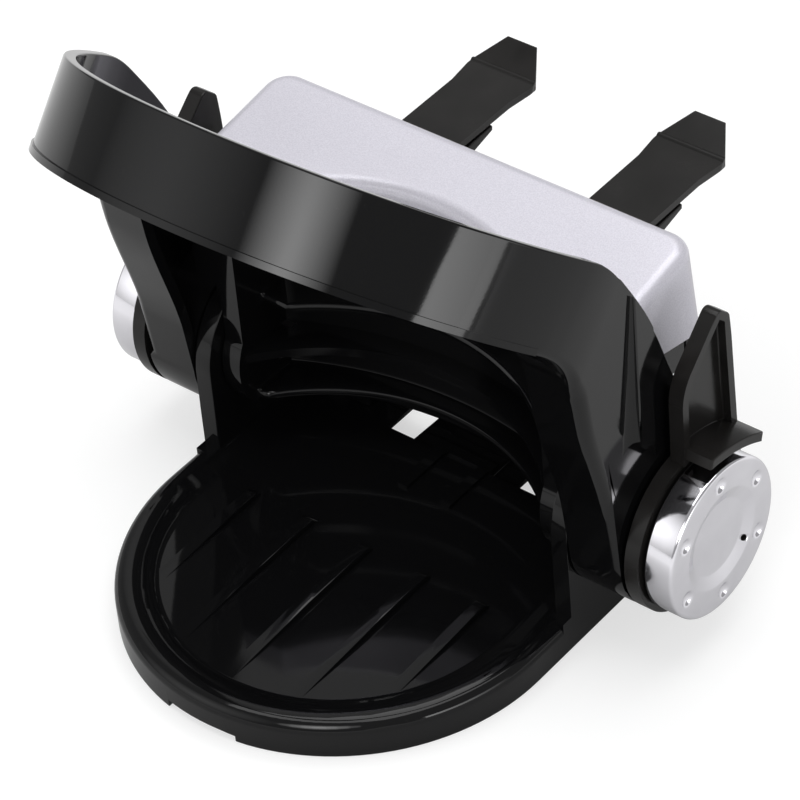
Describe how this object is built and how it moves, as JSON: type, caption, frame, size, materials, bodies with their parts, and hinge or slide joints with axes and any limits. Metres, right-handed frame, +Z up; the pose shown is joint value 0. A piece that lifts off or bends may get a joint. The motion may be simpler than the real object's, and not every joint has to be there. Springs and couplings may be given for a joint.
{
  "type": "folding car drink holder",
  "caption": "Folding drink holder that clips to a car's air vent: hinged ring arm, ribbed tray and side support legs on one hub axis, silver cover, chrome hub caps.",
  "frame": {"origin": "on the tray's underside, below the middle of the hub axis", "axes": "+X along the hub axis to the right cap, +Y back towards the vent, +Z up"},
  "size_m": [0.125, 0.125, 0.12],
  "materials": {
    "gloss_black": "gloss",
    "satin_black": "satin",
    "silver": "satin",
    "chrome": "mirror",
    "steel": "satin"
  },
  "bodies": {
    "holder": {"housing": "gloss_black", "top_cover": "silver", "cover_screws": "steel", "back_plate": "satin_black", "back_plate_screws": "steel", "vent_clip_left": "satin_black", "hub_cap_left": "chrome", "pivot_pin_left": "steel", "friction_washer_left": "satin_black", "spring_washer_left": "steel", "vent_clip_right": "satin_black", "hub_cap_right": "chrome", "pivot_pin_right": "steel", "friction_washer_right": "satin_black", "spring_washer_right": "steel"},
    "ring": {"ring_arm": "gloss_black"},
    "tray": {"tray": "gloss_black"},
    "leg_left": {"support_leg_left": "satin_black"},
    "leg_right": {"support_leg_right": "satin_black"}
  },
  "joints": [
    {"name": "ring_fold", "type": "hinge", "parent": "holder", "child": "ring", "pos_m": [0, 0, 0.0243], "axis": [1, 0, 0], "range_deg": [-12, 39.5]},
    {"name": "tray_fold", "type": "hinge", "parent": "holder", "child": "tray", "pos_m": [0, 0, 0.0243], "axis": [-1, 0, 0], "range_deg": [0, 90]},
    {"name": "leg_left_swing", "type": "hinge", "parent": "holder", "child": "leg_left", "pos_m": [0, 0, 0.0243], "axis": [-1, 0, 0], "range_deg": [0, 85]},
    {"name": "leg_right_swing", "type": "hinge", "parent": "holder", "child": "leg_right", "pos_m": [0, 0, 0.0243], "axis": [-1, 0, 0], "range_deg": [0, 85]}
  ]
}
